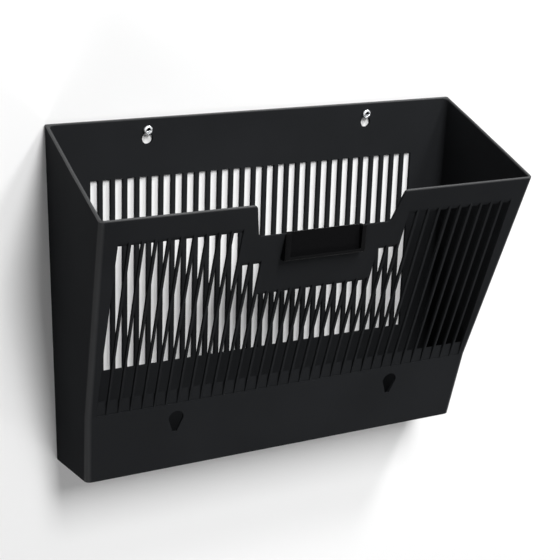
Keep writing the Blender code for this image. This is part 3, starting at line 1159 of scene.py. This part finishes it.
@dataclass
class WallFixing:
    """A pan-head screw in its ribbed plug, at one of the tray's back keyholes."""

    side: Side
    tray: TrayShell
    shank_radius: float = 0.00195
    head_radius: float = 0.0038
    head: float = 0.0022
    head_round_share: float = 0.72
    reach: float = 0.0300
    tip: float = 0.0045
    tip_share: float = 0.06
    thread_pitch: float = 0.0014
    thread_root_share: float = 0.76
    drive_width: float = 0.0009
    drive_length: float = 0.0042
    drive_depth: float = 0.0013
    screw_edge: float = 0.00008
    plug_length: float = 0.0320
    plug_radius: float = 0.0034
    plug_rib: float = 0.0004
    plug_ribs: int = 6
    rib_rise_share: float = 0.7
    plug_tip_share: float = 0.86
    flange_radius: float = 0.0048
    flange: float = 0.0009
    slit: float = 0.0008
    slit_start: float = 0.0110
    plug_edge: float = 0.0001
    sides: int = 40

    @property
    def across(self) -> float:
        """Where the fixing stands across the wall."""
        return self.side.value * self.tray.keyhole_spacing / 2

    def grow(self, piece: Piece, steps: list[Pair]) -> None:
        """Draw the selected end face out along Y, step by step.

        Args:
            piece: The piece, in edit mode with its end face selected.
            steps: How far each step goes and the scale of the ring at its end.
        """
        for length, factor in steps:
            bpy.ops.mesh.extrude_region_move(TRANSFORM_OT_translate={"value": (0, length, 0)})
            shape = bmesh.from_edit_mesh(piece.data)
            ring = [point.co for point in shape.verts if point.select]
            centre = sum(ring, Vector()) / len(ring)
            bpy.ops.transform.resize(value=(factor, 1, factor), center_override=centre)

    def cut_cross(self, piece: Piece, width: float, length: float, span: Pair) -> None:
        """Cut two crossed slots into a piece.

        Args:
            piece: The piece to cut.
            width: The slots' width.
            length: Their length.
            span: Where they start and end along Y.
        """
        for half, rise in ((width / 2, length / 2), (length / 2, width / 2)):
            combine(piece, add_block("cross_tool", (self.across - half, span[0], -rise),
                                     (self.across + half, span[1], rise)))

    def screw(self) -> Piece:
        """Make the screw: head, cross recess, shank, thread and point.

        Returns:
            The finished piece.
        """
        seat = -(self.tray.wall + GAP)
        face = -(self.tray.wall + GAP + self.head)
        screw = add_rod("screw_" + self.side.word, (self.across, 0), self.head_radius, face, seat, self.sides)
        root = self.thread_root_share
        turns = int((self.reach - self.tip) / self.thread_pitch) - 1
        thread = [(self.thread_pitch / 2, root), (self.thread_pitch / 2, 1 / root)] * turns
        with editing(screw, Part.FACE, is_end_face):
            bpy.ops.mesh.inset(thickness=self.head_radius - self.shank_radius)
            self.grow(screw, [(self.tray.wall + 2 * GAP, 1.0), *thread, (self.tip, self.tip_share)])
        round_edges(screw, lambda one, other: max(one.y, other.y) < face + GAP,
                    self.head * self.head_round_share, 6)
        self.cut_cross(screw, self.drive_width, self.drive_length,
                       (face - self.head, face + self.drive_depth))
        soften(screw, self.screw_edge, 1)
        return dress(screw, SCREW_ZINC, Body.FIXINGS, "wall_screw_" + self.side.word)

    def plug(self) -> Piece:
        """Make the plug: flange, ribs, bore and the slits that let it spread.

        Returns:
            The finished piece.
        """
        plug = add_rod("plug_" + self.side.word, (self.across, 0), self.flange_radius, GAP,
                       GAP + self.flange, self.sides)
        root = self.plug_radius - self.plug_rib
        pitch = (self.plug_length - 2 * self.flange) / self.plug_ribs
        rise = self.rib_rise_share
        rib = [(pitch * rise, self.plug_radius / root), (GAP, root / self.plug_radius),
               (pitch * (1 - rise) - GAP, 1.0)]
        with editing(plug, Part.FACE, is_end_face):
            bpy.ops.mesh.inset(thickness=self.flange_radius - root)
            self.grow(plug, rib * self.plug_ribs + [(self.flange, self.plug_tip_share)])
        far = self.plug_length + GAP + OVERRUN
        bore = self.shank_radius + GAP
        combine(plug, add_rod("bore_tool", (self.across, 0), bore, -OVERRUN, far, self.sides))
        self.cut_cross(plug, self.slit, 2 * (self.flange_radius + GAP), (self.slit_start, far))
        soften(plug, self.plug_edge, 1)
        return dress(plug, PLUG_GREY, Body.FIXINGS, "wall_plug_" + self.side.word)

    def build(self) -> list[Piece]:
        """Make the screw and the plug."""
        return [self.screw(), self.plug()]


@dataclass(frozen=True)
class Lamp:
    """A soft rectangular lamp: where it stands, what it faces, its width and height, and its watts."""

    name: str
    place: Triple
    aim: Triple
    size: Pair
    power: float

    def build(self) -> None:
        """Add the lamp, which the camera doesn't see."""
        data = bpy.data.lights.new(self.name, "AREA")
        data.shape = "RECTANGLE"
        data.size, data.size_y = self.size
        data.energy = self.power
        lamp = bpy.data.objects.new(self.name, data)
        bpy.context.scene.collection.objects.link(lamp)
        lamp.location = self.place
        lamp.visible_camera = False
        lamp.rotation_euler = (Vector(self.aim) - lamp.location).to_track_quat("-Z", "Y").to_euler()


@dataclass
class Studio:
    """A white wall, a pale floor, soft lamps and the camera."""

    wall_place: float = 0.00015
    wall_size: float = 6.0
    floor_drop: float = 2.40
    wall_white: Triple = (0.86, 0.86, 0.86)
    floor_pale: Triple = (0.74, 0.74, 0.74)
    paint_roughness: float = 0.9
    paint_specular: float = 0.1
    world_light: float = 0.055
    camera_place: Triple = (-0.53082, -0.99097, 0.22444)
    camera_turn: float = -0.5101
    camera_rise: float = 0.3080
    camera_roll: float = 0.0353
    camera_lens: float = 91.65
    camera_shift: float = 0.00089
    sensor_width: float = 36.0
    lamps: tuple[Lamp, ...] = (
        Lamp("key_lamp", (0.28, -2.50, 1.93), (0, -0.05, -0.12), (0.9, 1.7), 100.0),
        Lamp("band_lamp", (0.50, -0.80, -1.00), (0.30, -0.30, 0), (0.80, 0.16), 3.4),
        Lamp("corner_lamp", (-0.62, -0.63, -1.00), (-0.62, -0.63, 0), (0.4, 0.16), 3.0),
        Lamp("rim_lamp", (0.80, -0.70, 1.30), (0, -0.1, 0), (0.3, 0.3), 18.0))

    def paint(self, name: str, colour: Triple) -> bpy.types.Material:
        """Make a matte paint that only shows from its front.

        Args:
            name: The material's name.
            colour: The paint's colour.

        Returns:
            The material.
        """
        material, tree, shader = new_material(name)
        feed(tree, shader, {"Base Color": (*colour, 1.0), "Roughness": self.paint_roughness,
                            SPECULAR: self.paint_specular})
        back = add_node(tree, "NewGeometry", {}).outputs["Backfacing"]
        clear = add_node(tree, "BsdfTransparent", {}).outputs["BSDF"]
        choice = add_node(tree, "MixShader", {0: back, 1: shader.outputs["BSDF"], 2: clear})
        feed(tree, tree.nodes["Material Output"], {"Surface": choice.outputs["Shader"]})
        return material

    def add_plane(self, name: str, place: Triple, turn: float, material: bpy.types.Material) -> None:
        """Add a large flat backdrop.

        Args:
            name: The backdrop's name.
            place: Its middle.
            turn: Its turn about X.
            material: Its paint.
        """
        bpy.ops.object.select_all(action="DESELECT")
        bpy.ops.mesh.primitive_plane_add(size=self.wall_size, location=place, rotation=(turn, 0, 0))
        plane = take_new(name)
        plane.data.materials.append(material)
        plane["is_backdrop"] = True

    def add_camera(self) -> None:
        """Add the camera at the photograph's viewing angle."""
        data = bpy.data.cameras.new("camera")
        data.sensor_width = self.sensor_width
        data.lens = self.camera_lens
        data.shift_y = self.camera_shift
        camera = bpy.data.objects.new("camera", data)
        bpy.context.scene.collection.objects.link(camera)
        turn, rise, roll = self.camera_turn, self.camera_rise, self.camera_roll
        back = Vector((math.sin(turn) * math.cos(rise), -math.cos(turn) * math.cos(rise), math.sin(rise)))
        level = (-back).cross(Vector((0, 0, 1))).normalized()
        upright = level.cross(-back)
        right = math.cos(roll) * level + math.sin(roll) * upright
        up = -math.sin(roll) * level + math.cos(roll) * upright
        axes = Matrix((right, up, back)).transposed().to_4x4()
        camera.matrix_world = Matrix.Translation(self.camera_place) @ axes
        bpy.context.scene.camera = camera

    def build_world(self) -> None:
        """Surround the scene with a dim even light that looks white, in mirrors and glass too."""
        world = bpy.data.worlds.new("studio")
        world.use_nodes = True
        bpy.context.scene.world = world
        tree = world.node_tree
        light = feed(tree, tree.nodes["Background"], {"Color": WHITE, "Strength": self.world_light})
        white = add_node(tree, "Background", {"Color": WHITE, "Strength": 1.0})
        rays = add_node(tree, "LightPath", {}).outputs
        seen = rays["Is Camera Ray"]
        for kind in ("Is Glossy Ray", "Is Transmission Ray"):
            seen = figure(tree, "MAXIMUM", seen, rays[kind])
        sides = {0: seen, 1: light.outputs["Background"], 2: white.outputs["Background"]}
        choice = add_node(tree, "MixShader", sides)
        feed(tree, tree.nodes["World Output"], {"Surface": choice.outputs["Shader"]})

    def build(self) -> None:
        """Set up the whole stage."""
        self.build_world()
        middle = self.wall_size / 2
        self.add_plane("backdrop_wall", (0, self.wall_place, middle - self.floor_drop), math.pi / 2,
                       self.paint("white_wall", self.wall_white))
        self.add_plane("studio_floor", (0, self.wall_place - middle, -self.floor_drop), 0,
                       self.paint("pale_floor", self.floor_pale))
        for lamp in self.lamps:
            lamp.build()
        self.add_camera()
        bpy.context.scene.view_settings.view_transform = "Standard"


def write_sizes() -> None:
    """Work out the solids' box and the finished model's box."""
    boxes = {"cad": CAD_BOX, "visual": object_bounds()}
    plain = {name: [[float(value) for value in corner] for corner in box] for name, box in boxes.items()}


def main() -> None:
    """Build the tray, its label holder and card, its fixings and the stage."""
    logging.basicConfig(level=logging.INFO, format="%(message)s")
    tray = TrayShell()
    label = LabelHolder(tray)
    pieces = [tray.build(label.seat_tool())]
    pieces += label.build()
    for side in Side:
        pieces += WallFixing(side, tray).build()
    for piece in pieces:
        LOG.info("%s: %d faces", piece.name, len(piece.data.polygons))
    Studio().build()
    write_sizes()


if __name__ == "__main__":
    main()
